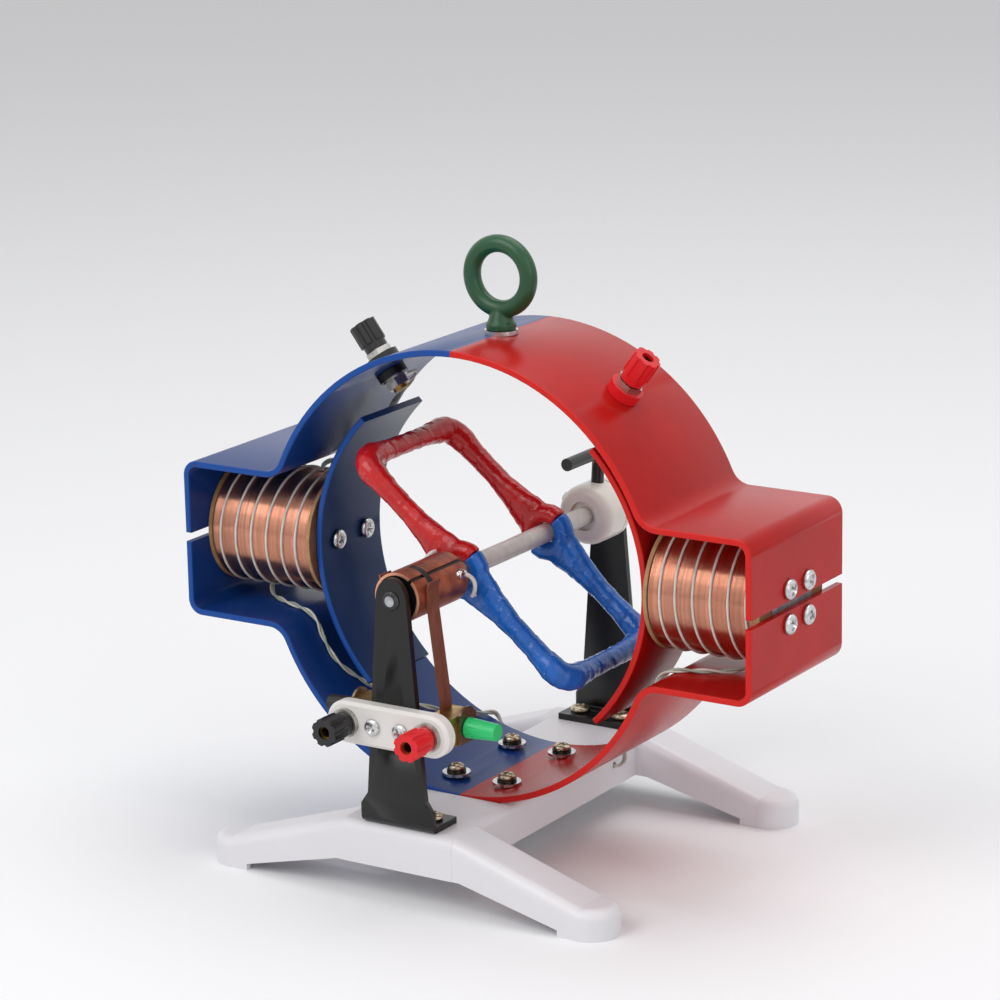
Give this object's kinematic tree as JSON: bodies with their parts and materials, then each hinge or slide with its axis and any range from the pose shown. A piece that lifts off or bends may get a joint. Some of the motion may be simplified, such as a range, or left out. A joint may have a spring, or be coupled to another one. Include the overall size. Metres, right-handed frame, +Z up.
{
  "type": "demonstration electric motor",
  "caption": "Open two-pole motor for teaching: split yoke with wound field poles, taped loop armature with commutator, brushes, binding posts and a crank, on a moulded base.",
  "frame": {"origin": "on the table, midway in the width and the depth", "axes": "+X from the blue pole to the red pole, +Y along the shaft from the commutator to the hub, +Z up"},
  "size_m": [0.253, 0.174, 0.2356],
  "materials": {
    "moulded_white": "moulded, slightly glossy",
    "yoke_paint": "gloss paint, blue on the left half and red on the right",
    "blue_paint": "gloss paint",
    "red_paint": "gloss paint",
    "core_steel": "turned",
    "fibreboard": "pressed fibre",
    "enamelled_copper": "enamelled wire, fine turns",
    "white_cord": "braided",
    "zinc_steel": "zinc plated",
    "green_paint": "gloss paint",
    "black_plastic": "moulded",
    "red_plastic": "moulded",
    "green_plastic": "moulded",
    "brass": "turned and milled",
    "black_paint": "satin paint",
    "copper": "worn copper",
    "red_tape": "wound adhesive tape",
    "blue_tape": "wound adhesive tape",
    "white_plastic": "moulded"
  },
  "bodies": {
    "frame": {"base": "moulded_white", "upper_yoke": "yoke_paint", "lower_yoke": "yoke_paint", "left_core": "core_steel", "right_core": "core_steel", "left_spool": "fibreboard", "right_spool": "fibreboard", "left_winding": "enamelled_copper", "right_winding": "enamelled_copper", "left_binding_cord": "white_cord", "right_binding_cord": "white_cord", "left_pole_shoe": "blue_paint", "right_pole_shoe": "red_paint", "wall_screws": "zinc_steel", "pole_screws": "zinc_steel", "base_bolts": "zinc_steel", "base_washers": "zinc_steel", "base_nuts": "zinc_steel", "eye_bolt": "green_paint", "eye_washer": "zinc_steel", "eye_nut": "zinc_steel", "black_field_bush": "black_plastic", "red_field_bush": "red_plastic", "field_studs": "brass", "field_nuts": "zinc_steel", "field_lugs": "zinc_steel", "front_bracket": "black_paint", "rear_bracket": "black_paint", "bracket_screws": "zinc_steel", "front_bearing": "zinc_steel", "rear_bearing": "zinc_steel", "terminal_plate": "moulded_white", "plate_screws": "zinc_steel", "armature_studs": "brass", "stud_washers": "zinc_steel", "left_brush_block": "brass", "right_brush_block": "brass", "left_brush": "copper", "right_brush": "copper", "clamp_plates": "zinc_steel", "field_leads": "white_cord"},
    "rotor": {"shaft": "zinc_steel", "shaft_sleeve": "white_plastic", "commutator_core": "black_plastic", "upper_segment": "copper", "lower_segment": "copper", "commutator_band": "black_plastic", "armature_red_half": "red_tape", "armature_blue_half": "blue_tape", "armature_leads": "white_cord", "hub": "white_plastic", "hub_screw": "zinc_steel", "crank_handle": "black_plastic"},
    "black_field_terminal": {"black_field_knob": "black_plastic"},
    "red_field_terminal": {"red_field_knob": "red_plastic"},
    "black_armature_terminal": {"black_armature_knob": "black_plastic"},
    "red_armature_terminal": {"red_armature_knob": "red_plastic"},
    "black_brush_clamp": {"black_thumb_screw": "black_plastic"},
    "green_brush_clamp": {"green_thumb_screw": "green_plastic"}
  },
  "joints": [
    {"name": "armature_spin", "type": "hinge", "parent": "frame", "child": "rotor", "pos_m": [0, 0.009, 0.115], "axis": [0, 1, 0], "continuous": true},
    {"name": "black_field_knob_turn", "type": "hinge", "parent": "frame", "child": "black_field_terminal", "pos_m": [-0.05898, 0.009, 0.19077], "axis": [-0.6018, 0, 0.7986], "range_deg": [0, 540]},
    {"name": "red_field_knob_turn", "type": "hinge", "parent": "frame", "child": "red_field_terminal", "pos_m": [0.05898, 0.009, 0.19077], "axis": [0.6018, 0, 0.7986], "range_deg": [0, 540]},
    {"name": "black_armature_knob_turn", "type": "hinge", "parent": "frame", "child": "black_armature_terminal", "pos_m": [-0.0178, -0.08, 0.0678], "axis": [0, -1, 0], "range_deg": [0, 540]},
    {"name": "red_armature_knob_turn", "type": "hinge", "parent": "frame", "child": "red_armature_terminal", "pos_m": [0.0178, -0.08, 0.0678], "axis": [0, -1, 0], "range_deg": [0, 540]},
    {"name": "black_thumb_screw_turn", "type": "hinge", "parent": "frame", "child": "black_brush_clamp", "pos_m": [-0.03, -0.0556, 0.0676], "axis": [-1, 0, 0], "range_deg": [0, 540]},
    {"name": "green_thumb_screw_turn", "type": "hinge", "parent": "frame", "child": "green_brush_clamp", "pos_m": [0.03, -0.0556, 0.0676], "axis": [1, 0, 0], "range_deg": [0, 540]}
  ]
}
